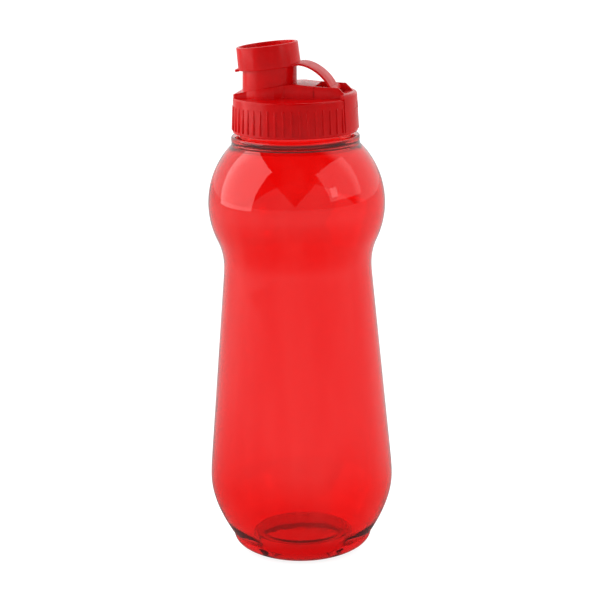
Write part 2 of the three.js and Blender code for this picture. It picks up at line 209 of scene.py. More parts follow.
@dataclass(frozen=True)
class CapSizes:
    """The screw cap's skirt, deck, ribs, hinge panel and raised bar."""

    above_bead: float = 1.5
    inner: float = 25.7
    skirt_wall: float = 1.4
    draft: float = 0.35
    deck: float = 1.7
    above_neck: float = 1.8
    edge_round: float = 0.8
    lead: float = 0.3
    soft_edge: float = 0.28
    rib_positions: int = 48
    rib_width: float = 0.9
    rib_top_proud: float = 0.25
    rib_bottom_proud: float = 0.55
    rib_top_margin: float = 3.7
    rib_bottom_margin: float = 1.1
    panel_half_angle: float = 27.5
    panel_round: float = 1.3
    panel_back: float = 0.8
    panel_rise: float = 1.9
    panel_step: float = 0.15
    notch_width: float = 8.0
    notch_height: float = 2.6
    notch_drop: float = 3.6
    notch_depth: float = 4.0
    notch_out: float = 1.5
    thread_more: float = 0.5
    bar_root: float = 1.2
    ear_root: float = 1.0
    bar_half_width: float = 9.9
    bar_inset: float = 0.15
    island_margin: float = 1.0
    shoulder_rise: float = 2.1
    arch_x: float = 3.0
    arch_rise: float = 5.9
    arch_lead_left: float = 9.0
    arch_lead_right: float = 7.0
    ear_rise: float = 4.6
    ear_thickness: float = 1.3
    ear_foot: float = 3.1
    ear_chamfer: float = 2.8
    channel_start: float = 10.3
    channel_floor: float = 0.9
    channel_lip: float = 5.3
    lip_steps: tuple[float, ...] = (22.5, 23.5, 24.3, 24.8, 25.3)
    ear_start: float = 9.7
    ear_end: float = 24.55

    @property
    def bottom_radius(self) -> float:
        """The skirt's outside at its bottom edge."""
        return self.inner + self.skirt_wall

    @property
    def top_radius(self) -> float:
        """The skirt's outside at the deck."""
        return self.bottom_radius - self.draft


@dataclass(frozen=True)
class SpoutSizes:
    """The drinking spout and its slanted mouth."""

    x: float = -10.95
    radius: float = 11.8
    bore: float = 9.4
    rise: float = 12.4
    tilt: float = 5.8
    mouth_shift: float = 0.175
    lip_height: float = 4.0
    lip_base: float = 11.3
    lip_top: float = 10.6
    gap: float = 0.3
    edge: float = 0.3
    fillet: float = 0.25
    root: float = 1.0
    straight: float = 3.0
    drill: float = 30.0
    sides: int = 128


@dataclass(frozen=True)
class SpoutCapSizes:
    """The cup over the spout, its tab and its hinge land."""

    inner: float = 12.5
    wall: float = 1.1
    draft: float = 0.2
    height: float = 10.0
    recess: float = 1.8
    ceiling: float = 1.5
    rim_width: float = 1.3
    rim_round: float = 0.4
    seal_width: float = 1.8
    tab_length: float = 1.3
    tab_width: float = 7.0
    tab_thickness: float = 1.1
    tab_round: float = 0.9
    tab_root: float = 0.7
    land: float = 0.25


@dataclass(frozen=True)
class StrapSizes:
    """The strap's band and its pivot."""

    width: float = 15.5
    thickness: float = 0.9
    hinge_gap: float = 0.35
    pivot_x: float = 17.3
    pivot_rise: float = 3.0
    barrel: float = 1.7
    trunnion: float = 1.2
    trunnion_reach: float = 9.15
    leave_run: float = 5.0
    leave_drop: float = 0.2
    arrive_run: float = 2.6
    arrive_rise: float = 5.8
    film: float = 0.34
    film_waist: float = 0.12
    film_sunk: float = 0.12
    film_lap: float = 0.3
    film_inset: float = 0.2
    edge: float = 0.2


@dataclass(frozen=True)
class SealSizes:
    """The ring under the deck."""

    inner: float = 22.2
    outer: float = 25.4
    thickness: float = 1.2
    gap: float = 0.3
    edge: float = 0.25


# ---------------------------------------------------------------------------- curves


def spaced(start: float, end: float, steps: int) -> list[float]:
    """Evenly spaced numbers, with both ends."""
    return [start + (end - start) * i / steps for i in range(steps + 1)]


def curve(steps: int, *corners: Point) -> list[Point]:
    """Points along a Bezier curve.

    Args:
        steps: How many steps it takes.
        corners: Where it starts, the corners that it rounds, and where it ends.

    Returns:
        The points after the first.
    """
    order = len(corners) - 1
    found = []
    for t in spaced(0.0, 1.0, steps)[1:]:
        weights = [math.comb(order, k) * t**k * (1 - t) ** (order - k) for k in range(order + 1)]
        found.append(tuple(sum(w * p[k] for w, p in zip(weights, corners)) for k in (0, 1)))
    return found


def arc(centre: Point, radius: float, start: float, end: float, steps: int) -> list[Point]:
    """Points along a circular arc, with both of its ends.

    Args:
        centre: The circle's centre.
        radius: Its radius.
        start: The first angle, in radians.
        end: The last angle, in radians.
        steps: How many steps it takes.

    Returns:
        The points.
    """
    turns = spaced(start, end, steps)
    return [(centre[0] + radius * math.cos(a), centre[1] + radius * math.sin(a)) for a in turns]


def beside(points: Sequence[Point], distance: float) -> list[Point]:
    """An outline moved sideways, to its left as it runs.

    Args:
        points: The outline.
        distance: How far it moves.

    Returns:
        The moved outline.
    """
    moved = []
    for i, point in enumerate(points):
        before, after = points[max(i - 1, 0)], points[min(i + 1, len(points) - 1)]
        run = (Vector(after) - Vector(before)).normalized()
        moved.append((point[0] - run.y * distance, point[1] + run.x * distance))
    return moved


# ---------------------------------------------------------------------------- the bench


def deselect() -> None:
    """Leaves edit mode with nothing selected."""
    if bpy.context.object is not None and bpy.context.object.mode != "OBJECT":
        bpy.ops.object.mode_set(mode="OBJECT")
    bpy.ops.object.select_all(action="DESELECT")


def only(piece: Piece) -> None:
    """Selects one piece and makes it active.

    Args:
        piece: The piece.
    """
    deselect()
    piece.select_set(True)
    bpy.context.view_layer.objects.active = piece


def opened(name: str) -> Piece:
    """Names the primitive just added, applies its place and opens it in edit mode.

    Args:
        name: Its name.

    Returns:
        The piece, selected all over.
    """
    piece = bpy.context.object
    piece.name = name
    bpy.ops.object.transform_apply(location=True, rotation=True, scale=True)
    bpy.ops.object.mode_set(mode="EDIT")
    bpy.ops.mesh.select_all(action="SELECT")
    return piece


def push(step: Vector) -> None:
    """Extrudes what is selected along a step in millimetres."""
    bpy.ops.mesh.extrude_region_move(TRANSFORM_OT_translate={"value": step * MM})


def close_up(fill: bool = False) -> None:
    """Merges doubles, turns faces outwards and leaves edit mode.

    Args:
        fill: Whether open ends are filled too.
    """
    bpy.ops.mesh.select_all(action="SELECT")
    bpy.ops.mesh.remove_doubles(threshold=2e-6)
    if fill:
        bpy.ops.mesh.select_all(action="SELECT")
        bpy.ops.mesh.fill_holes(sides=0)
    bpy.ops.mesh.select_all(action="SELECT")
    bpy.ops.mesh.normals_make_consistent(inside=False)
    bpy.ops.object.mode_set(mode="OBJECT")


def chain(name: str, points: Sequence[Vector], closed: bool) -> Piece:
    """Draws a line of edges by extruding one vertex from point to point.

    Args:
        name: The piece's name.
        points: The points, in millimetres.
        closed: Whether the last point joins the first.

    Returns:
        The piece, still in edit mode with everything selected.
    """
    deselect()
    bpy.ops.mesh.primitive_plane_add(size=MM)
    piece = opened(name)
    bpy.ops.mesh.select_mode(type="VERT")
    bpy.ops.mesh.merge(type="CENTER")
    bpy.ops.transform.translate(value=points[0] * MM)
    route = [*points, points[0]] if closed else points
    for before, after in zip(route, route[1:]):
        push(after - before)
    bpy.ops.mesh.select_all(action="SELECT")
    bpy.ops.mesh.remove_doubles(threshold=1e-6)
    bpy.ops.mesh.select_all(action="SELECT")
    return piece


def spun(
    name: str, outline: Sequence[Point], steps: int, closed: bool = False,
    start: float = 0.0, sweep: float = FULL_TURN,
) -> Piece:
    """Spins an outline of (radius, height) points about the upright axis.

    Args:
        name: The piece's name.
        outline: The outline, in millimetres.
        steps: How many steps the sweep takes.
        closed: Whether the outline joins up off the axis.
        start: The angle that the sweep starts at, in radians.
        sweep: How far it goes, in radians.

    Returns:
        The closed piece, in object mode.
    """
    points = [Vector((r * math.cos(start), r * math.sin(start), z)) for r, z in outline]
    piece = chain(name, points, closed)
    bpy.ops.mesh.spin(steps=steps, angle=-sweep, center=(0.0, 0.0, 0.0), axis=(0.0, 0.0, 1.0))
    close_up(fill=sweep < FULL_TURN)
    return piece


def plate(
    name: str, outline: Sequence[Point], low: float, high: float, along: Along = Along.Y
) -> Piece:
    """Fills a flat outline and extrudes it.

    Args:
        name: The piece's name.
        outline: The outline's points, in millimetres.
        low: Where it starts along the axis.
        high: Where it ends.
        along: The axis that it is extruded along.

    Returns:
        The closed piece, in object mode.
    """
    upright = along is Along.Z
    points = [Vector((a, b, low) if upright else (a, low, b)) for a, b in outline]
    piece = chain(name, points, closed=True)
    bpy.ops.mesh.edge_face_add()
    push(Vector((0.0, 0.0, high - low) if upright else (0.0, high - low, 0.0)))
    close_up()
    return piece


def loft(name: str, sections: Sequence[tuple[float, float, float, float]]) -> Piece:
    """Extrudes a rectangle along X through sections of changing width and height.

    Args:
        name: The piece's name.
        sections: Each section's (x, half width, bottom, top), in millimetres.

    Returns:
        The closed piece, in object mode.
    """
    x, half, bottom, top = sections[0]
    deselect()
    bpy.ops.mesh.primitive_plane_add(size=MM, rotation=(0.0, math.pi / 2, 0.0))
    piece = opened(name)
    bpy.ops.transform.resize(value=(1.0, 2 * half, top - bottom))
    bpy.ops.transform.translate(value=Vector((x, 0.0, (top + bottom) / 2)) * MM)
    for before, after in zip(sections, sections[1:]):
        middle = [(s[2] + s[3]) / 2 for s in (before, after)]
        push(Vector((after[0] - before[0], 0.0, middle[1] - middle[0])))
        grow = (1.0, after[1] / before[1], (after[3] - after[2]) / (before[3] - before[2]))
        centre = Vector((after[0], 0.0, middle[1])) * MM
        bpy.ops.transform.resize(value=grow, center_override=centre)
    close_up()
    return piece


def rod(
    name: str, radius: float, length: float, at: Vector, sides: int, lying: bool = False
) -> Piece:
    """Adds a round rod.

    Args:
        name: The piece's name.
        radius: Its radius, in millimetres.
        length: Its length.
        at: Its middle.
        sides: How many sides it has.
        lying: Whether it lies along Y or stands up.

    Returns:
        The rod, in object mode.
    """
    deselect()
    bpy.ops.mesh.primitive_cylinder_add(
        vertices=sides, radius=radius * MM, depth=length * MM, location=at * MM,
        rotation=(math.pi / 2 if lying else 0.0, 0.0, 0.0),
    )
    piece = opened(name)
    bpy.ops.object.mode_set(mode="OBJECT")
    return piece


def apply_modifier(piece: Piece, modifier: bpy.types.Modifier) -> None:
    """Applies one of a piece's modifiers."""
    only(piece)
    bpy.ops.object.modifier_apply(modifier=modifier.name)


def soften(piece: Piece, width: float, segments: int = 3, limit: float = 40.0) -> Piece:
    """Rounds a piece's sharp edges.

    Args:
        piece: The piece.
        width: The rounding's width, in millimetres.
        segments: How many faces cross it.
        limit: The angle, in degrees, past which an edge is sharp.

    Returns:
        The piece.
    """
    bevel = piece.modifiers.new("rounded_edges", "BEVEL")
    bevel.width = width * MM
    bevel.segments = segments
    bevel.limit_method = "ANGLE"
    bevel.angle_limit = math.radians(limit)
    apply_modifier(piece, bevel)
    return piece


def cut(piece: Piece, tool: Piece) -> Piece:
    """Cuts a tool's shape out of a piece and removes the tool.

    Args:
        piece: The piece.
        tool: The tool.

    Returns:
        The piece.
    """
    boolean = piece.modifiers.new("cut", "BOOLEAN")
    boolean.operation = "DIFFERENCE"
    boolean.solver = "EXACT"
    boolean.object = tool
    apply_modifier(piece, boolean)
    bpy.data.objects.remove(tool)
    return piece


def join(pieces: Sequence[Piece], name: str) -> Piece:
    """Joins pieces that are one moulding.

    Args:
        pieces: The pieces.
        name: The joined piece's name.

    Returns:
        The joined piece.
    """
    only(pieces[0])
    for piece in pieces[1:]:
        piece.select_set(True)
    bpy.ops.object.join()
    pieces[0].name = pieces[0].data.name = name
    return pieces[0]


def settle(piece: Piece, place: Matrix | None = None) -> Piece:
    """Moves a piece's mesh to its place and smooths its shading.

    Args:
        piece: The piece.
        place: Where it lies, or None where it was made in place.

    Returns:
        The piece.
    """
    only(piece)
    if place is not None:
        piece.matrix_world = place
    bpy.ops.object.transform_apply(location=True, rotation=True, scale=True)
    bpy.ops.object.shade_smooth_by_angle(angle=math.radians(SMOOTH_BELOW))
    return piece


def ridge(name: str, radius: float, bottom: float, sizes: NeckSizes, side: float) -> Piece:
    """Screws a small round section up a wall, as a thread.

    Args:
        name: The piece's name.
        radius: The wall's radius, in millimetres.
        bottom: Where the thread starts.
        sizes: The neck's sizes.
        side: 1 for a ridge that stands outwards, -1 for one that stands inwards.

    Returns:
        The ridge, in object mode.
    """
    middle = (radius + sizes.thread_proud * side, bottom)
    section = arc(middle, sizes.thread_radius, 0.0, FULL_TURN, 10)[:-1]
    piece = chain(name, [Vector((x, 0.0, z)) for x, z in section], closed=True)
    bpy.ops.object.mode_set(mode="OBJECT")
    screw = piece.modifiers.new("helix", "SCREW")
    screw.angle = FULL_TURN * sizes.thread_turns
    screw.screw_offset = sizes.thread_pitch * sizes.thread_turns * MM
    screw.steps = screw.render_steps = sizes.thread_steps
    apply_modifier(piece, screw)
    bpy.ops.object.mode_set(mode="EDIT")
    close_up(fill=True)
    return piece


# ---------------------------------------------------------------------------- node tools


class Recipe:
    """A small helper that wires shader nodes in one tree."""

    def __init__(self, tree: Tree) -> None:
        """Keeps the tree and empties it."""
        self.tree = tree
        tree.nodes.clear()

    def fill(self, node: bpy.types.Node, values: dict[str | int, Value]) -> None:
        """Gives a node's inputs what they hold.

        Args:
            node: The node.
            values: Sockets to link, or plain values, by input.
        """
        for key, value in values.items():
            if isinstance(value, Socket):
                self.tree.links.new(value, node.inputs[key])
            else:
                node.inputs[key].default_value = value

    def node(
        self, kind: str, values: dict[str | int, Value] | None = None, **settings: object
    ) -> bpy.types.Node:
        """Adds a node.

        Args:
            kind: Blender's name for it.
            values: What its inputs hold.
            settings: Its own properties.

        Returns:
            The node.
        """
        made = self.tree.nodes.new(kind)
        for key, value in settings.items():
            setattr(made, key, value)
        self.fill(made, values or {})
        return made

    def place(self) -> Socket:
        """Where a point lies on the object."""
        return self.node("ShaderNodeTexCoord").outputs["Object"]

    def noise(
        self, place: Socket, scale: Value, detail: float = 3.0, rough: float = 0.55
    ) -> Socket:
        """Adds a noise pattern.

        Args:
            place: The coordinates that it reads.
            scale: Its scale.
            detail: Its detail.
            rough: How rough the detail is.

        Returns:
            Its value.
        """
        values = {"Vector": place, "Scale": scale, "Detail": detail, "Roughness": rough}
        return self.node("ShaderNodeTexNoise", values).outputs["Fac"]

    def spread(
        self, value: Socket, low: Value, high: Value, to_low: Value, to_high: Value
    ) -> Socket:
        """Maps a value from one range to another, smoothly.

        Args:
            value: The value.
            low: Where the first range starts.
            high: Where it ends.
            to_low: What the start becomes.
            to_high: What the end becomes.

        Returns:
            The mapped value.
        """
        values = {
            "Value": value, "From Min": low, "From Max": high, "To Min": to_low, "To Max": to_high,
        }
        made = self.node("ShaderNodeMapRange", values, interpolation_type="SMOOTHSTEP")
        return made.outputs["Result"]

    def maths(self, operation: str, a: Value, b: Value = 0.0) -> Socket:
        """Works out one sum of two values."""
        return self.node("ShaderNodeMath", {0: a, 1: b}, operation=operation).outputs[0]

    def mix(self, share: Socket, first: Socket | Colour, second: Colour) -> Socket:
        """Blends two colours.

        Args:
            share: How much of the second there is.
            first: The first colour.
            second: The second colour.

        Returns:
            The blend.
        """
        a = first if isinstance(first, Socket) else (*first, 1.0)
        values = {"Factor": share, "A": a, "B": (*second, 1.0)}
        return self.node("ShaderNodeMix", values, data_type="RGBA").outputs["Result"]

    def bump(self, height: Socket, strength: float, distance: float) -> Socket:
        """Turns heights into a normal.

        Args:
            height: The heights.
            strength: How strongly they show.
            distance: How high they are, in millimetres.

        Returns:
            The normal.
        """
        values = {"Height": height, "Strength": strength, "Distance": distance * MM}
        return self.node("ShaderNodeBump", values).outputs["Normal"]


def new_group(name: str, inputs: dict[str, float]) -> tuple[Recipe, bpy.types.Node]:
    """Starts a shader node group.

    Args:
        name: The group's name.
        inputs: Its number inputs and their usual values.

    Returns:
        Its recipe, and the node that hands the inputs out.
    """
    tree = bpy.data.node_groups.new(name, "ShaderNodeTree")
    for key, value in inputs.items():
        made = tree.interface.new_socket(name=key, in_out="INPUT", socket_type="NodeSocketFloat")
        made.default_value = value
    recipe = Recipe(tree)
    return recipe, recipe.node("NodeGroupInput")


def end_group(recipe: Recipe, outputs: dict[str, Socket]) -> Tree:
    """Gives a group its number outputs.

    Args:
        recipe: The group's recipe.
        outputs: What each output hands out.

    Returns:
        The group's tree.
    """
    for key in outputs:
        recipe.tree.interface.new_socket(name=key, in_out="OUTPUT", socket_type="NodeSocketFloat")
    recipe.node("NodeGroupOutput", outputs)
    return recipe.tree


def moulded_surface_group() -> Tree:
    """A moulded plastic's skin: fine spark grain, slow sink marks and roughness that varies.

    Returns:
        A group with Height, Roughness and Cloud outputs, for any moulded part.
    """
    inputs = {"Grain Scale": 2600.0, "Grain": 0.5, "Smooth Roughness": 0.24, "Worn Roughness": 0.4}
    recipe, given = new_group("moulded_surface", inputs)
    place = recipe.place()
    grain = recipe.noise(place, given.outputs["Grain Scale"], 2.0, 0.5)
    fine = recipe.maths("MULTIPLY", grain, given.outputs["Grain"])
    sink = recipe.maths("MULTIPLY", recipe.noise(place, 90.0, 1.5), 0.8)
    cloud = recipe.noise(place, 160.0, 4.0)
    smooth, worn = given.outputs["Smooth Roughness"], given.outputs["Worn Roughness"]
    return end_group(recipe, {
        "Height": recipe.maths("ADD", fine, sink),
        "Roughness": recipe.spread(cloud, 0.38, 0.72, smooth, worn),
        "Cloud": cloud,
    })


def painted_edge_highlight_group() -> Tree:
    """A painted highlight on raised edges: lighter where the surface is pointed, broken up by
    noise.

    Returns:
        A group whose one output, from 0 to 1, is where the painted edge highlight lies.
    """
    recipe, given = new_group("painted_edge_highlight", {"Start": 0.52, "Full": 0.62})
    pointed = recipe.node("ShaderNodeNewGeometry").outputs["Pointiness"]
    edge = recipe.spread(pointed, given.outputs["Start"], given.outputs["Full"], 0.0, 1.0)
    broken = recipe.spread(recipe.noise(recipe.place(), 420.0, 4.0), 0.4, 0.62, 0.7, 1.0)
    return end_group(recipe, {"Painted Highlight": recipe.maths("MULTIPLY", edge, broken)})


# ---------------------------------------------------------------------------- finishes


def new_material(name: str) -> tuple[bpy.types.Material, Recipe]:
    """Starts a material.

    Args:
        name: Its name.

    Returns:
        The material and its recipe.
    """
    material = bpy.data.materials.new(name)
    material.use_nodes = True
    return material, Recipe(material.node_tree)


@dataclass(frozen=True)
class BlownPlastic:
    """Clear red plastic, blown, glossy, with faint flow lines and handling scuffs."""

    name: str = "blown_red_plastic"
    tint: Colour = (0.88, 0.038, 0.034)
    scuff_tint: Colour = (0.895, 0.092, 0.082)
    thick_tint: Colour = (0.84, 0.01, 0.012)
    thick_below: float = 0.008
    thick_fade: float = 0.004
    clear: float = 0.97
    gloss: float = 0.015
    scuffed: float = 0.09
    index: float = 1.5
    ripple: float = 0.14
    ripple_height: float = 0.4
    ripple_scale: float = 130.0
    scuff_scale: float = 70.0
    drawn_out: float = 0.14

    def make(self) -> bpy.types.Material:
        """Makes the material.

        Returns:
            The material.
        """
        material, recipe = new_material(self.name)
        place = recipe.place()
        scale = (1.0, 1.0, self.drawn_out)
        drawn = recipe.node("ShaderNodeMapping", {"Vector": place, "Scale": scale}).outputs[0]
        scuffs = recipe.spread(
            recipe.noise(drawn, self.scuff_scale, 5.0, 0.6), 0.42, 0.7, 0.0, 1.0
        )
        height = recipe.node("ShaderNodeSeparateXYZ", {"Vector": place}).outputs["Z"]
        thick = recipe.spread(
            height, self.thick_below, self.thick_below + self.thick_fade, 1.0, 0.0
        )
        thin_colour = recipe.mix(scuffs, self.tint, self.scuff_tint)
        ripples = recipe.noise(drawn, self.ripple_scale, 2.0)
        shader = recipe.node("ShaderNodeBsdfPrincipled", {
            "Transmission Weight": self.clear,
            "IOR": self.index,
            "Roughness": recipe.spread(scuffs, 0.0, 1.0, self.gloss, self.scuffed),
            "Base Color": recipe.mix(thick, thin_colour, self.thick_tint),
            "Normal": recipe.bump(ripples, self.ripple, self.ripple_height),
        })
        recipe.node("ShaderNodeOutputMaterial", {"Surface": shader.outputs["BSDF"]})
        return material


@dataclass(frozen=True)
class MouldedPlastic:
    """Opaque moulded plastic with a fine grain and a highlight painted on its sharp edges."""

    name: str
    colour: Colour
    # The colour of the highlight painted on sharp edges.
    painted_highlight_colour: Colour
    smooth: float = 0.17
    worn: float = 0.27
    grain: float = 0.5
    grain_scale: float = 2600.0
    bump: float = 0.12
    bump_height: float = 0.12
    clouding: float = 0.05
    # How far the painted edge highlight lightens the colour.
    painted_highlight: float = 0.35
    index: float = 1.5
    specular: float = 0.2

    def make(self, surface: Tree, painted_highlight: Tree) -> bpy.types.Material:
        """Makes the material.

        Args:
            surface: The shared moulded surface group.
            painted_highlight: The shared group that paints a highlight on sharp edges.

        Returns:
            The material.
        """
        material, recipe = new_material(self.name)
        skin = recipe.node("ShaderNodeGroup", node_tree=surface)
        recipe.fill(skin, {
            "Grain Scale": self.grain_scale,
            "Grain": self.grain,
            "Smooth Roughness": self.smooth,
            "Worn Roughness": self.worn,
        })
        # Painted highlight: sharp edges lightened, standing in for light catching them.
        painted_highlight_mask = recipe.node("ShaderNodeGroup", node_tree=painted_highlight).outputs["Painted Highlight"]
        clouded = tuple(c * (1.0 - 2 * self.clouding) for c in self.colour)
        patches = recipe.spread(skin.outputs["Cloud"], 0.35, 0.7, 0.0, 1.0)
        shade = recipe.mix(patches, self.colour, clouded)
        shader = recipe.node("ShaderNodeBsdfPrincipled", {
            "IOR": self.index,
            "Specular IOR Level": self.specular,
            "Base Color": recipe.mix(
                recipe.maths("MULTIPLY", painted_highlight_mask, self.painted_highlight), shade, self.painted_highlight_colour
            ),
            "Roughness": skin.outputs["Roughness"],
            "Normal": recipe.bump(skin.outputs["Height"], self.bump, self.bump_height),
        })
        recipe.node("ShaderNodeOutputMaterial", {"Surface": shader.outputs["BSDF"]})
        return material


class Paints:
    """Every finish of the object, made once."""

    def __init__(self) -> None:
        """Makes the shared groups and the materials."""
        groups = moulded_surface_group(), painted_edge_highlight_group()
        # The second colour of each pair is the highlight painted on sharp edges.
        reds = (0.92, 0.0, 0.0015), (0.95, 0.06, 0.07)
        whites = (0.72, 0.69, 0.63), (0.8, 0.78, 0.74)
        self.blown = BlownPlastic().make()
        self.lid = MouldedPlastic("moulded_red_lid", *reds).make(*groups)
        self.strap = MouldedPlastic(
            "moulded_red_strap", *reds, smooth=0.3, worn=0.42, grain=0.9, bump=0.2
        ).make(*groups)
        self.seal = MouldedPlastic(
            "soft_white_seal", *whites,
            smooth=0.5, worn=0.7, grain=0.3, grain_scale=1800.0, clouding=0.04,
        ).make(*groups)


def dress(
    piece: Piece, paint: bpy.types.Material, body: Body, slot: Slot, *nodes: str
) -> None:
    """Paints a piece and ties it to the frame.

    Args:
        piece: The piece.
        paint: Its material.
        body: The body that it rides on.
        slot: The record's slot that its finish comes from; not used.
        nodes: The CAD nodes that it stands for.
    """
    piece.data.materials.clear()
    piece.data.materials.append(paint)
    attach(piece, body.value)
    if nodes:
        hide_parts(*nodes)
    log.info("%s: %d faces", piece.name, len(piece.data.polygons))


# ---------------------------------------------------------------------------- sub-assemblies


@dataclass
class BlownBottle:
    """The blown body with its pushed-up base, bead, neck and thread."""

    body: BodySizes
    neck: NeckSizes
    steps: int = 192

    @property
    def bulb_centre(self) -> Point:
        """The centre of the bulb's arc."""
        return (self.body.bulb_radius - self.body.bulb_arc, self.body.bulb_height)

    @property
    def shoulder(self) -> float:
        """The height where the bulb's arc meets the neck's root."""
        run = self.neck.bead_radius - self.bulb_centre[0]
        return self.body.bulb_height + math.sqrt(self.body.bulb_arc**2 - run**2)

    @property
    def bead_bottom(self) -> float:
        """The bead's underside."""
        return self.shoulder + self.neck.root + self.neck.groove_height

    @property
    def bead_top(self) -> float:
        """The bead's top."""
        return self.bead_bottom + self.neck.bead_thickness

    @property
    def neck_top(self) -> float:
        """The neck's rim."""
        return self.bead_top + self.neck.above_bead

    def thread_start(self, turns: float) -> float:
        """Where a thread of so many turns below the rim starts."""
        return self.neck_top - self.neck.thread_below_rim - self.neck.thread_pitch * turns

    def outside(self) -> list[Point]:
        """The outside, from the standing ring to the shoulder.

        Returns:
            The outline's points.
        """
        b = self.body
        ring, foot = (b.ring_outer, 0.0), (b.foot_radius, b.foot_height)
        heel = (b.foot_radius - b.foot_inset, b.foot_share * b.foot_height)
        flare = b.foot_height + (b.belly_radius - b.foot_radius) / b.belly_flare
        belly, waist = (b.belly_radius, b.belly_height), (b.waist_radius, b.waist_height)
        belly_corner = (b.belly_radius, b.belly_height + b.belly_blend)
        waist_corner = (b.waist_radius, b.waist_height - b.waist_blend)
        low, high = (
            tuple(p + (q - p) * share for p, q in zip(belly_corner, waist_corner))
            for share in (b.taper_blend, 1 - b.taper_blend)
        )
        arc_start = -math.asin(b.bulb_share * (b.bulb_height - b.waist_height) / b.bulb_arc)
        arc_end = math.asin((self.shoulder - b.bulb_height) / b.bulb_arc)
        bulb = arc(self.bulb_centre, b.bulb_arc, arc_start, arc_end, 30)
        corner = bulb[0][1] + (bulb[0][0] - b.waist_radius) / math.tan(arc_start)
        return [
            ring,
            *curve(12, ring, heel, foot),
            *curve(18, foot, (b.belly_radius, flare), belly),
            *curve(5, belly, belly_corner, low),
            *curve(8, low, high),
            *curve(5, high, waist_corner, waist),
            *curve(10, waist, (b.waist_radius, corner), bulb[0]),
            *bulb[1:],
        ]

    def underside(self) -> list[Point]:
        """The pushed-up base, from its crown to the standing ring.

        Returns:
            The outline's points.
        """
        b = self.body
        inner = b.ring_outer - b.ring_width
        wall, top = inner - b.push_up_draft, b.push_up + b.push_up_crown
        shelf = (wall - b.push_up_round, b.push_up)
        foot = (wall, b.push_up - b.push_up_round)
        return [
            (0.0, top),
            *curve(8, (0.0, top), (0.6 * shelf[0], top), shelf),
            *curve(6, shelf, (wall, b.push_up), foot),
            (inner, b.ring_edge), (inner + b.ring_edge, 0.0),
        ]

    def neck_outline(self) -> list[Point]:
        """The groove, the bead and the neck, up to the rim and down to the bead inside.

        Returns:
            The outline's points.
        """
        n, low, high, rim = self.neck, self.bead_bottom, self.bead_top, self.neck_top
        out, bore, start = n.bead_radius, n.radius - n.wall, (n.bead_radius, low - n.groove_height)
        groove = (out - n.groove_depth, low - 0.5 * n.groove_height)
        under = (out - 0.25 * n.bead_round, low)
        bead, lip = n.bead_round, n.lip_round
        return [
            start,
            *curve(6, start, groove, under),
            *curve(4, under, (out, low), (out, low + 0.75 * bead)),
            *arc((out - bead, high - bead), bead, 0.0, QUARTER_TURN, 6),
            (n.radius + lip, high), (n.radius, high + lip),
            *arc((n.radius - lip, rim - lip), lip, 0.0, QUARTER_TURN, 4),
            (bore + n.bore_edge, rim), (bore, rim - n.bore_edge), (bore, high),
        ]

    def inside(self) -> list[Point]:
        """The inside, from the shoulder to the floor's centre.

        Returns:
            The outline's points.
        """
        b, n = self.body, self.neck
        bore, low = n.radius - n.wall, self.bead_bottom
        # The wall's first points lie in the standing ring, where the valley takes over.
        shoulder = [p for p in beside(self.outside(), b.wall)[8:] if p[1] < self.shoulder - 1.0]
        shelf = (bore, low + 1.4)
        floor = beside(self.underside()[:-2], b.base_wall)
        ring = (b.ring_outer - 0.5 * b.ring_width + 0.9, b.base_wall + 0.3)
        return [
            shelf,
            *curve(8, shelf, (bore + 0.4, low - 0.2), shoulder[-1]),
            *shoulder[-2::-1],
            *curve(6, shoulder[0], (ring[0] + 3.0, b.base_wall), ring),
            *curve(5, ring, (floor[-1][0] + 0.2, b.base_wall + 0.2), floor[-1]),
            *floor[-2:0:-1],
            (0.0, b.push_up + b.push_up_crown + b.base_wall),
        ]

    def uneven_heel(self, shell: Piece) -> None:
        """Thickens the inside of the heel in a few places, as blowing leaves it.

        Args:
            shell: The spun body.
        """
        b, outside = self.body, self.outside()
        only(shell)
        for azimuth in b.heel_lumps:
            angle = math.radians(azimuth)
            out = Vector((math.sin(angle), -math.cos(angle), 0.0))
            bpy.ops.object.mode_set(mode="EDIT")
            bpy.ops.mesh.select_all(action="DESELECT")
            bpy.ops.object.mode_set(mode="OBJECT")
            for vertex in shell.data.vertices:
                height, flat = vertex.co.z / MM, Vector((vertex.co.x, vertex.co.y, 0.0)) / MM
                wall = min(outside, key=lambda p: abs(p[1] - height))[0]
                inside = b.lump_inside < flat.length < wall - b.lump_skin
                level = b.lump_band[0] < height < b.lump_band[1]
                vertex.select = inside and level and flat.normalized().dot(out) > b.lump_facing
            bpy.ops.object.mode_set(mode="EDIT")
            bpy.ops.transform.translate(
                value=(Vector((0.0, 0.0, b.lump_rise)) - out * b.lump_depth) * MM,
                use_proportional_edit=True, use_proportional_connected=True,
                proportional_edit_falloff="SMOOTH", proportional_size=b.lump_spread * MM,
            )
            bpy.ops.object.mode_set(mode="OBJECT")

    def build(self, paints: Paints) -> None:
        """Models and dresses the bottle.

        Args:
            paints: The finishes.
        """
        outline = [*self.underside(), *self.outside(), *self.neck_outline(), *self.inside()]
        shell = spun("blown_body", outline, self.steps)
        self.uneven_heel(shell)
        dress(settle(shell), paints.blown, Body.BOTTLE, Slot.BOTTLE, "bottle")
        start = self.thread_start(self.neck.thread_turns)
        thread = ridge("neck_thread", self.neck.radius, start, self.neck, 1.0)
        dress(settle(thread), paints.blown, Body.BOTTLE, Slot.BOTTLE)


@dataclass
class SealRing:
    """The soft ring between the neck's rim and the deck."""

    sizes: SealSizes
    bottle: BlownBottle

    def build(self, paints: Paints) -> None:
        """Models and dresses the ring.

        Args:
            paints: The finishes.
        """
        s = self.sizes
        low = self.bottle.neck_top + s.gap
        high, edge = low + s.thickness, s.edge
        outline = [
            (s.inner + edge, low), (s.outer - edge, low), (s.outer, low + edge),
            (s.outer, high - edge), (s.outer - edge, high), (s.inner + edge, high),
            (s.inner, high - edge), (s.inner, low + edge),
        ]
        ring = settle(spun("seal_ring", outline, 128, closed=True))
        dress(ring, paints.seal, Body.SEAL, Slot.SEAL, "sealing_ring")


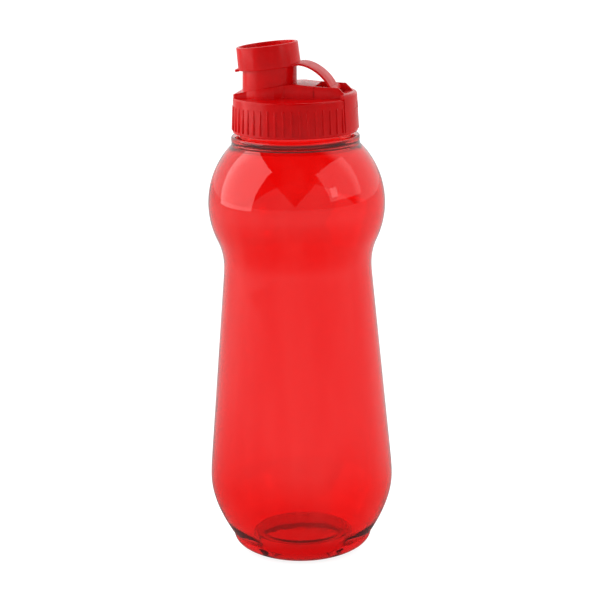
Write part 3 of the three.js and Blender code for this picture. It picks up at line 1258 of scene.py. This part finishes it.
@dataclass
class ScrewCap:
    """The ribbed cap with its hinge panel, raised bar, ears and spout."""

    sizes: CapSizes
    spout: SpoutSizes
    bottle: BlownBottle
    steps: int = 192

    @property
    def bottom(self) -> float:
        """The skirt's bottom edge."""
        return self.bottle.bead_top + self.sizes.above_bead

    @property
    def deck_bottom(self) -> float:
        """The deck's underside."""
        return self.bottle.neck_top + self.sizes.above_neck

    @property
    def ledge(self) -> float:
        """The deck's top."""
        return self.deck_bottom + self.sizes.deck

    @property
    def reach(self) -> float:
        """The radius that the raised bar stops at."""
        return self.sizes.top_radius - self.sizes.bar_inset

    @property
    def ear_top(self) -> float:
        """The X that the ears' level top runs to."""
        return self.sizes.top_radius - self.sizes.ear_chamfer - self.sizes.ear_foot

    @property
    def mouth(self) -> Vector:
        """The middle of the spout's slanted mouth, in millimetres."""
        s = self.spout
        return Vector((s.x + s.mouth_shift, 0.0, self.ledge + s.rise))

    def mouth_frame(self) -> Matrix:
        """The frame of the spout's slanted mouth, in metres."""
        slant = Matrix.Rotation(math.radians(-self.spout.tilt), 4, "Y")
        return Matrix.Translation(self.mouth * MM) @ slant

    def skirt(self) -> Piece:
        """The skirt and the deck.

        Returns:
            The moulding's first part.
        """
        c, under, low, lead = self.sizes, self.deck_bottom, self.bottom, self.sizes.lead
        turn = (c.top_radius - c.edge_round, self.ledge - c.edge_round)
        outline = [
            (0.0, under), (c.inner - 0.5, under), (c.inner, under - 0.5), (c.inner, low + lead),
            (c.inner + lead, low), (c.bottom_radius - 0.35, low), (c.bottom_radius, low + 0.35),
            *arc(turn, c.edge_round, 0.0, QUARTER_TURN, 7),
            (0.0, self.ledge),
        ]
        return spun("skirt", outline, self.steps)

    def grip_ribs(self) -> Piece:
        """One rib, copied round the skirt but for the panel.

        Returns:
            All the ribs.
        """
        c = self.sizes
        low, high = self.bottom + c.rib_bottom_margin, self.ledge - c.rib_top_margin
        root = c.inner + 0.6 * c.skirt_wall
        slope = (c.top_radius - c.bottom_radius) / (self.ledge - c.edge_round - self.bottom)
        face = [c.bottom_radius + slope * (z - self.bottom) for z in (low, high)]
        outline = [
            (root, low), (face[0] + c.rib_bottom_proud, low + 0.15),
            (face[1] + c.rib_top_proud, high), (root, high + 0.5),
        ]
        rib = soften(plate("rib", outline, -0.5 * c.rib_width, 0.5 * c.rib_width), 0.2)
        ribs, pitch = [], 360.0 / c.rib_positions
        for i in range(c.rib_positions):
            angle = i * pitch
            if min(angle, 360.0 - angle) >= c.panel_half_angle - 0.1:
                copy = bpy.data.objects.new(f"rib_{i}", rib.data.copy())
                bpy.context.scene.collection.objects.link(copy)
                copy.data.transform(Matrix.Rotation(math.radians(angle), 4, "Z"))
                ribs.append(copy)
        bpy.data.meshes.remove(rib.data)
        return join(ribs, "ribs")

    def hinge_panel(self) -> Piece:
        """The smooth proud panel at the hinge, with its notch.

        Returns:
            The panel.
        """
        c = self.sizes
        low, high = self.bottom + c.rib_bottom_margin, self.ledge + c.panel_rise
        wide, top = c.bottom_radius + c.rib_bottom_proud, c.top_radius + c.rib_top_proud
        back = top - c.panel_round - c.panel_back
        root, sunk, lead = c.inner + 0.4 * c.skirt_wall, self.ledge - 0.5, c.lead
        turn = (top - c.panel_round, high - c.panel_round)
        outline = [
            (root, low), (wide - lead, low), (wide, low + lead),
            *arc(turn, c.panel_round, 0.0, QUARTER_TURN, 7),
            (back + 0.2, high), (back, high - 0.2), (back, sunk), (root, sunk),
        ]
        half = math.radians(c.panel_half_angle)
        panel = spun("panel", outline, 48, closed=True, start=-half, sweep=2 * half)
        deselect()
        place = Vector((top + c.notch_out, 0.0, self.ledge - c.notch_drop)) * MM
        size = Vector((c.notch_depth, c.notch_width, c.notch_height)) * MM
        bpy.ops.mesh.primitive_cube_add(size=1.0, location=place, scale=size)
        return cut(panel, bpy.context.object)

    def arch_height(self, x: float) -> float:
        """The raised bar's top at one place along it.

        Args:
            x: The place, in millimetres.

        Returns:
            The height above the ledge.
        """
        c, foot = self.sizes, (-self.reach, -0.6)
        shoulder = (self.spout.x - self.spout.radius, c.shoulder_rise)
        crown, ear = (c.arch_x, c.arch_rise), (self.ear_top, c.ear_rise)
        points = [
            foot,
            *curve(16, foot, (-self.reach, c.shoulder_rise - 0.3), shoulder),
            *curve(24, shoulder, (c.arch_x - c.arch_lead_left, c.arch_rise - 0.1), crown),
            *curve(16, crown, (c.arch_x + c.arch_lead_right, c.ear_rise + 0.4), ear),
        ]
        for before, after in zip(points, points[1:]):
            if before[0] <= x <= after[0]:
                share = (x - before[0]) / max(after[0] - before[0], 1e-9)
                return before[1] + (after[1] - before[1]) * share
        return points[-1][1]

    def bar_half_width(self, x: float) -> float:
        """The raised bar's half width, with the island under the spout.

        Args:
            x: The place along the bar, in millimetres.

        Returns:
            Half the width there.
        """
        island = self.spout.radius + self.sizes.island_margin
        round_part = math.sqrt(max(island**2 - (x - self.spout.x) ** 2, 0.0))
        rim = math.sqrt(max(self.reach**2 - x * x, 0.01))
        return min(max(self.sizes.bar_half_width, round_part), rim)

    def raised_bar(self) -> Piece:
        """The bar from the left shoulder to the channel, and the channel's floor beyond it.

        Returns:
            The bar.
        """
        c = self.sizes
        base, inner = self.ledge - c.bar_root, c.bar_half_width - 0.05
        left, right = -self.reach + 0.03, c.channel_start
        sections = []
        for share in spaced(0.0, 1.0, 84):
            x = left + (right - left) * share**1.25
            sections.append((x, self.bar_half_width(x), base, self.ledge + self.arch_height(x)))
        floor, lip = self.ledge + c.channel_floor, self.ledge + c.panel_rise - 2 * c.panel_step
        lip_start = c.top_radius - c.channel_lip
        sections += [(x, inner, base, floor) for x in (right, lip_start)]
        sections += [
            (x, min(inner, self.bar_half_width(x)), base, lip)
            for x in (lip_start, *c.lip_steps)
        ]
        return soften(loft("bar", sections), c.soft_edge, limit=35.0)

    def ear(self, side: float) -> Piece:
        """One of the two ears that the strap turns between.

        Args:
            side: 1 for the ear at +Y, -1 for the one at -Y.

        Returns:
            The ear.
        """
        c, base = self.sizes, self.ledge - self.sizes.ear_root
        low, crest = self.ledge + c.panel_rise - c.panel_step, spaced(c.ear_start, self.ear_top, 18)
        outline = [
            (c.ear_start, base), *((x, self.ledge + self.arch_height(x)) for x in crest),
            (self.ear_top + c.ear_chamfer, low), (c.ear_end, low), (c.ear_end, base),
        ]
        near, far = sorted((side * (c.bar_half_width - c.ear_thickness), side * c.bar_half_width))
        return soften(plate("ear", outline, near, far), c.soft_edge, limit=30.0)

    def spout_tube(self) -> Piece:
        """The upright tube, its slanted mouth, its lip and its bore, by extruding one ring.

        Each ring is drawn flat, then turned about the mouth's centre to the mouth's slant.

        Returns:
            The tube.
        """
        s, edge = self.spout, self.spout.edge
        up = self.mouth_frame().to_3x3() @ Vector((0.0, 0.0, 1.0))
        lip = s.gap + s.lip_height
        slanted_rings = [
            (s.radius, s.gap - s.fillet), (s.radius - s.fillet, s.gap), (s.lip_base, s.gap),
            (s.lip_top, lip - edge), (s.lip_top - edge, lip), (s.bore + edge, lip),
            (s.bore, lip - edge), (s.bore, 0.0),
        ]
        rings = [
            (s.radius, Vector((s.x, 0.0, self.ledge + s.straight)), False),
            *((radius, self.mouth + up * height, True) for radius, height in slanted_rings),
            (s.bore, Vector((s.x, 0.0, self.ledge)), False),
            (s.bore, Vector((s.x, 0.0, self.ledge - self.sizes.deck + 0.1)), False),
        ]
        radius, centre, slanted = s.radius, Vector((s.x, 0.0, self.ledge - s.root)), False
        deselect()
        bpy.ops.mesh.primitive_circle_add(
            vertices=s.sides, radius=radius * MM, location=centre * MM
        )
        tube = opened("spout_tube")
        for next_radius, next_centre, next_slanted in rings:
            push(next_centre - centre)
            pivot = next_centre * MM
            if next_slanted != slanted:
                angle = math.radians(s.tilt) * (1.0 if next_slanted else -1.0)
                bpy.ops.transform.rotate(value=angle, orient_axis="Y", center_override=pivot)
            if next_radius != radius:
                grow = next_radius / radius
                bpy.ops.transform.resize(value=(grow, grow, grow), center_override=pivot)
            radius, centre, slanted = next_radius, next_centre, next_slanted
        bpy.ops.mesh.select_all(action="DESELECT")
        bpy.ops.mesh.select_non_manifold(extend=False)
        bpy.ops.mesh.bridge_edge_loops()
        close_up()
        return tube

    def build(self, paints: Paints) -> None:
        """Models and dresses the screw cap.

        Args:
            paints: The finishes.
        """
        s, neck = self.spout, self.bottle.neck
        middle = Vector((s.x, 0.0, self.ledge))
        pierced = [
            cut(part, rod("bore", s.bore, s.drill, middle, s.sides))
            for part in (self.skirt(), self.raised_bar())
        ]
        start = self.bottle.thread_start(neck.thread_turns + self.sizes.thread_more)
        parts = [
            *pierced, self.grip_ribs(), self.hinge_panel(), self.ear(1.0), self.ear(-1.0),
            self.spout_tube(), ridge("inner_thread", self.sizes.inner, start, neck, -1.0),
        ]
        cap = settle(join(parts, "cap_moulding"))
        dress(cap, paints.lid, Body.CAP, Slot.CAP, "screw_cap")


@dataclass
class SpoutCap:
    """The cup that closes the spout, with its tab and its hinge land."""

    sizes: SpoutCapSizes
    strap: StrapSizes
    cap: ScrewCap

    @property
    def outer(self) -> float:
        """The cup's outside at its mouth."""
        return self.sizes.inner + self.sizes.wall

    @property
    def land_end(self) -> float:
        """Where the hinge land stops, from the cup's axis."""
        return self.outer + self.sizes.land

    def cup(self) -> Piece:
        """The recessed cup with the sealing skirt inside.

        Returns:
            The cup.
        """
        s, spout = self.sizes, self.cap.spout
        floor, ceiling = s.height - s.recess, s.height - s.recess - s.ceiling
        skirt = spout.gap + spout.lip_height + spout.gap
        skirt_inner = spout.lip_top - s.seal_width
        top = self.outer - s.draft
        inside, rim, turn = top - s.rim_width, s.height - s.rim_round, s.rim_round
        outline = [
            (0.0, floor),
            *curve(8, (0.0, floor), (inside - 0.3, floor), (inside, floor + 0.6)),
            (inside + 0.05, rim),
            *arc((inside + turn, rim), turn, math.pi, QUARTER_TURN, 4),
            *arc((top - turn, rim), turn, QUARTER_TURN, 0.0, 5),
            (self.outer, 0.25), (self.outer - 0.25, 0.0), (s.inner + 0.2, 0.0), (s.inner, 0.2),
            (s.inner, ceiling - 0.3), (s.inner - 0.3, ceiling), (spout.lip_top, ceiling),
            (spout.lip_top, skirt), (skirt_inner, skirt), (skirt_inner, ceiling), (0.0, ceiling),
        ]
        return spun("cup", outline, 160)

    def tab(self) -> Piece:
        """The thumb tab, with a rounded end.

        Returns:
            The tab.
        """
        s = self.sizes
        half, turn, root = 0.5 * s.tab_width, s.tab_round, s.tab_root - self.outer
        end = turn - self.outer - s.tab_length
        outline = [
            (root, -half),
            *arc((end, turn - half), turn, -QUARTER_TURN, -math.pi, 6),
            *arc((end, half - turn), turn, math.pi, QUARTER_TURN, 6),
            (root, half),
        ]
        low, high = -0.4 * s.tab_thickness, 0.6 * s.tab_thickness
        return soften(plate("tab", outline, low, high, Along.Z), 0.25)

    def land(self) -> Piece:
        """The straight strip that the hinge film leaves from.

        Returns:
            The strip.
        """
        half, inside = 0.5 * self.strap.width, self.sizes.inner + 0.35
        start = math.asin(min(half / inside, 1.0))
        outline = [
            *arc((0.0, 0.0), inside, start, -start, 16),
            (self.land_end, -half), (self.land_end, half),
        ]
        return soften(plate("land", outline, 0.0, self.strap.thickness, Along.Z), 0.12, 2)

    def build(self, paints: Paints) -> None:
        """Models and dresses the spout cap.

        Args:
            paints: The finishes.
        """
        cup = join([self.cup(), self.tab(), self.land()], "spout_cup")
        settle(cup, self.cap.mouth_frame())
        dress(cup, paints.lid, Body.SPOUT_CAP, Slot.CAP, "spout_cap")


@dataclass
class TetherStrap:
    """The bent strap, its pivot barrel and the thin film that joins it to the spout cap."""

    sizes: StrapSizes
    spout_cap: SpoutCap

    @property
    def pivot(self) -> Vector:
        """The middle of the pivot, in millimetres."""
        rise = self.spout_cap.cap.ledge + self.sizes.pivot_rise
        return Vector((self.sizes.pivot_x, 0.0, rise))

    def by_mouth(self, along: float, height: float) -> Vector:
        """A place given in the mouth's frame, in millimetres.

        Args:
            along: How far from the cup's axis, towards the strap.
            height: How far above the mouth.

        Returns:
            The place in the whole bottle's frame.
        """
        frame = self.spout_cap.cap.mouth_frame()
        return (frame @ (Vector((along, 0.0, height)) * MM)) / MM

    def start(self) -> Vector:
        """The strap's upper edge at the spout cap, in millimetres."""
        s = self.sizes
        return self.by_mouth(self.spout_cap.land_end + s.hinge_gap, s.thickness)

    def band(self) -> Piece:
        """The strap's band, from the spout cap to the pivot.

        Returns:
            The band.
        """
        s, begin, pivot = self.sizes, self.start(), self.pivot
        first, last = (begin.x, begin.z), (pivot.x, pivot.z + s.barrel - 0.5 * s.thickness)
        leave = (first[0] + s.leave_run, first[1] - s.leave_drop)
        arrive = (last[0] - s.arrive_run, last[1] + s.arrive_rise)
        outer = [first, *curve(48, first, leave, arrive, last)]
        inner = beside(outer, -s.thickness)
        half = 0.5 * s.width
        return soften(plate("band", [*outer, *reversed(inner)], -half, half), s.edge)

    def hinge_film(self) -> Piece:
        """The living hinge: a thin waisted film across the gap between land and strap.

        Returns:
            The film.
        """
        s, end = self.sizes, self.start()
        land = self.by_mouth(self.spout_cap.land_end - s.film_lap, s.thickness - s.film_sunk)
        last = Vector((end.x + 0.35, 0.0, end.z - 0.14))
        half = 0.5 * s.width - s.film_inset
        upper, lower = [], []
        for share in spaced(0.0, 1.0, 8):
            place, dip = land.lerp(last, share), s.film_waist * math.sin(math.pi * share)
            upper.append((place.x, place.z - dip))
            lower.append((place.x, place.z - dip - s.film + 0.5 * dip))
        return plate("living_hinge", [*upper, *reversed(lower)], -half, half)

    def build(self, paints: Paints) -> None:
        """Models and dresses the strap, and models the film and gives it the strap's material.

        Args:
            paints: The finishes.
        """
        s, pivot = self.sizes, self.pivot
        barrel = soften(rod("barrel", s.barrel, s.width, pivot, 48, lying=True), s.edge)
        reach = 2 * s.trunnion_reach
        trunnions = soften(rod("trunnions", s.trunnion, reach, pivot, 48, lying=True), s.edge)
        strap = settle(join([self.band(), barrel, trunnions], "strap_moulding"))
        dress(strap, paints.strap, Body.STRAP, Slot.STRAP, "tether_strap")
        film = settle(self.hinge_film())
        film.data.materials.append(paints.strap)
        begin, gap = self.start() * MM, Vector((s.hinge_gap, 0.0, 0.0)) * MM
        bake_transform(film)


# ---------------------------------------------------------------------------- studio


@dataclass(frozen=True)
class SoftBox:
    """A square studio light that looks at the bottle."""

    name: str
    azimuth: float
    elevation: float
    width: float
    height: float
    radiance: float
    distance: float = 1.3

    def place(self, target: Vector) -> None:
        """Adds the light.

        Args:
            target: What it looks at, in metres.
        """
        a, e = math.radians(self.azimuth), math.radians(self.elevation)
        out = Vector((math.sin(a) * math.cos(e), -math.cos(a) * math.cos(e), math.sin(e)))
        light = bpy.data.lights.new(self.name, "AREA")
        light.shape = "RECTANGLE"
        light.size, light.size_y = self.width, self.height
        light.energy = self.radiance * math.pi * self.width * self.height
        lamp = bpy.data.objects.new(self.name, light)
        bpy.context.scene.collection.objects.link(lamp)
        lamp.location = target + out * self.distance
        lamp.rotation_euler = out.to_track_quat("Z", "Y").to_euler()
        lamp.visible_camera = False


@dataclass(frozen=True)
class Studio:
    """A white table and surround, a dim ceiling in front, and the soft boxes."""

    camera_place: tuple[float, float, float] = (182.6, -939.4, 326.27)
    camera_heading: float = 10.96
    camera_pitch: float = -12.551
    camera_roll: float = -1.054
    lens: float = 133.46
    table_side: float = 30.0
    table_grey: float = 0.16
    surround: float = 1.2
    glow: float = 1.08
    # Painted shadow: the table glows less under the bottle.
    under_painted_shadow_glow: float = 0.85
    # Painted shadow: mirrored rays see the table dim close to the bottle.
    near_painted_shadow_glow: float = 0.05
    front_glow: float = 0.5
    back_glow: float = 0.45
    card: float = 0.5
    ceiling: float = 0.06
    boxes: tuple[SoftBox, ...] = (
        SoftBox("right_spot", 63.0, 20.0, 0.2, 0.26, 1.6),
        SoftBox("left_box", -76.0, 27.0, 1.5, 1.5, 1.9),
        SoftBox("right_box", 80.0, 31.0, 1.25, 1.0, 0.85),
    )

    def camera(self) -> None:
        """Adds the camera."""
        data = bpy.data.cameras.new("camera")
        data.lens, data.sensor_width = self.lens, 36.0
        data.clip_start, data.clip_end = 0.01, 100.0
        camera = bpy.data.objects.new("camera", data)
        bpy.context.scene.collection.objects.link(camera)
        stand = Matrix.Translation(Vector(self.camera_place) * MM)
        turns = (self.camera_heading, "Z"), (90.0 + self.camera_pitch, "X"), (self.camera_roll, "Z")
        for degrees, axis in turns:
            stand = stand @ Matrix.Rotation(math.radians(degrees), 4, axis)
        camera.matrix_world = stand
        bpy.context.scene.camera = camera

    def table(self) -> None:
        """Adds the plain pale table, which mirrors less light than it shows. Its glow is lowered
        under the bottle, and close to the bottle in mirrored rays, as painted shadow.
        """
        deselect()
        bpy.ops.mesh.primitive_plane_add(size=self.table_side, location=(0.0, 0.0, -0.00005))
        table = bpy.context.object
        table.name = "table"
        material, recipe = new_material("white_table")
        place = recipe.place()
        side = recipe.node("ShaderNodeSeparateXYZ", {"Vector": place}).outputs["Y"]
        length = recipe.node("ShaderNodeVectorMath", {0: place}, operation="LENGTH")
        away = length.outputs["Value"]
        # Painted shadow in mirrored rays: dim close to the bottle, brighter further out.
        near = recipe.spread(away, 0.03, 0.6, self.near_painted_shadow_glow, self.front_glow)
        mirrored = recipe.spread(side, -0.02, 0.3, near, self.back_glow)
        # Painted shadow: the table glows less under the bottle.
        seen = recipe.spread(away, 0.02, 0.034, self.under_painted_shadow_glow, self.glow)
        ray = recipe.node("ShaderNodeLightPath").outputs["Is Reflection Ray"]
        shader = recipe.node("ShaderNodeBsdfPrincipled", {
            "Base Color": (self.table_grey, self.table_grey, self.table_grey, 1.0),
            "Roughness": 0.8,
            "Specular IOR Level": 0.1,
            "Emission Color": (1.0, 1.0, 1.0, 1.0),
            "Emission Strength": recipe.spread(ray, 0.0, 1.0, seen, mirrored),
        })
        recipe.node("ShaderNodeOutputMaterial", {"Surface": shader.outputs["BSDF"]})
        table.data.materials.append(material)
        table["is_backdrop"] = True

    def surroundings(self) -> None:
        """Makes the world: white behind, a white card low in front, and a dim ceiling above it."""
        world = bpy.data.worlds.new("studio")
        bpy.context.scene.world = world
        world.use_nodes = True
        recipe = Recipe(world.node_tree)
        way = recipe.node("ShaderNodeTexCoord").outputs["Generated"]

        def along(*direction: float) -> Socket:
            """How far a look lies along one vector."""
            values = {0: way, 1: direction}
            return recipe.node("ShaderNodeVectorMath", values, operation="DOT_PRODUCT").outputs[1]

        over_card = recipe.maths("MAXIMUM", along(0.0, 0.85, 1.0), along(-0.55, 0.76, 1.0))
        front = recipe.spread(over_card, -0.02, 0.02, self.card, self.ceiling)
        sideways = recipe.maths("ABSOLUTE", along(0.988, 0.156, 0.0))
        tilted = recipe.maths("MULTIPLY", sideways, 1.1)
        wedge = recipe.maths("SUBTRACT", along(0.0, 0.0, 1.0), tilted)
        front = recipe.maths("MULTIPLY", front, recipe.spread(wedge, 0.05, 0.09, 1.0, 0.1))
        whole = recipe.spread(along(0.0, 1.0, 0.0), 0.0, 0.3, front, self.surround)
        background = recipe.node("ShaderNodeBackground", {"Strength": whole})
        recipe.node("ShaderNodeOutputWorld", {"Surface": background.outputs["Background"]})

    def build(self, target: Vector) -> None:
        """Sets the whole studio up.

        Args:
            target: What the lights look at, in metres.
        """
        self.camera()
        self.table()
        self.surroundings()
        for box in self.boxes:
            box.place(target)
        bpy.context.scene.view_settings.view_transform = "Standard"


# ---------------------------------------------------------------------------- the whole


def main() -> None:
    """Builds the studio and every piece, in order."""
    logging.basicConfig(level=logging.INFO, format="%(name)s: %(message)s")
    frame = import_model()
    cad_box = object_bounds()
    log.info("frame: %d nodes", len(frame["nodes"]))
    bottle = BlownBottle(BodySizes(), NeckSizes())
    cap = ScrewCap(CapSizes(), SpoutSizes(), bottle)
    spout_cap = SpoutCap(SpoutCapSizes(), StrapSizes(), cap)
    strap = TetherStrap(spout_cap.strap, spout_cap)
    Studio().build((cad_box[0] + cad_box[1]) / 2)
    paints = Paints()
    for part in (bottle, SealRing(SealSizes(), bottle), cap, spout_cap, strap):
        part.build(paints)
    deselect()


if __name__ == "__main__":
    main()
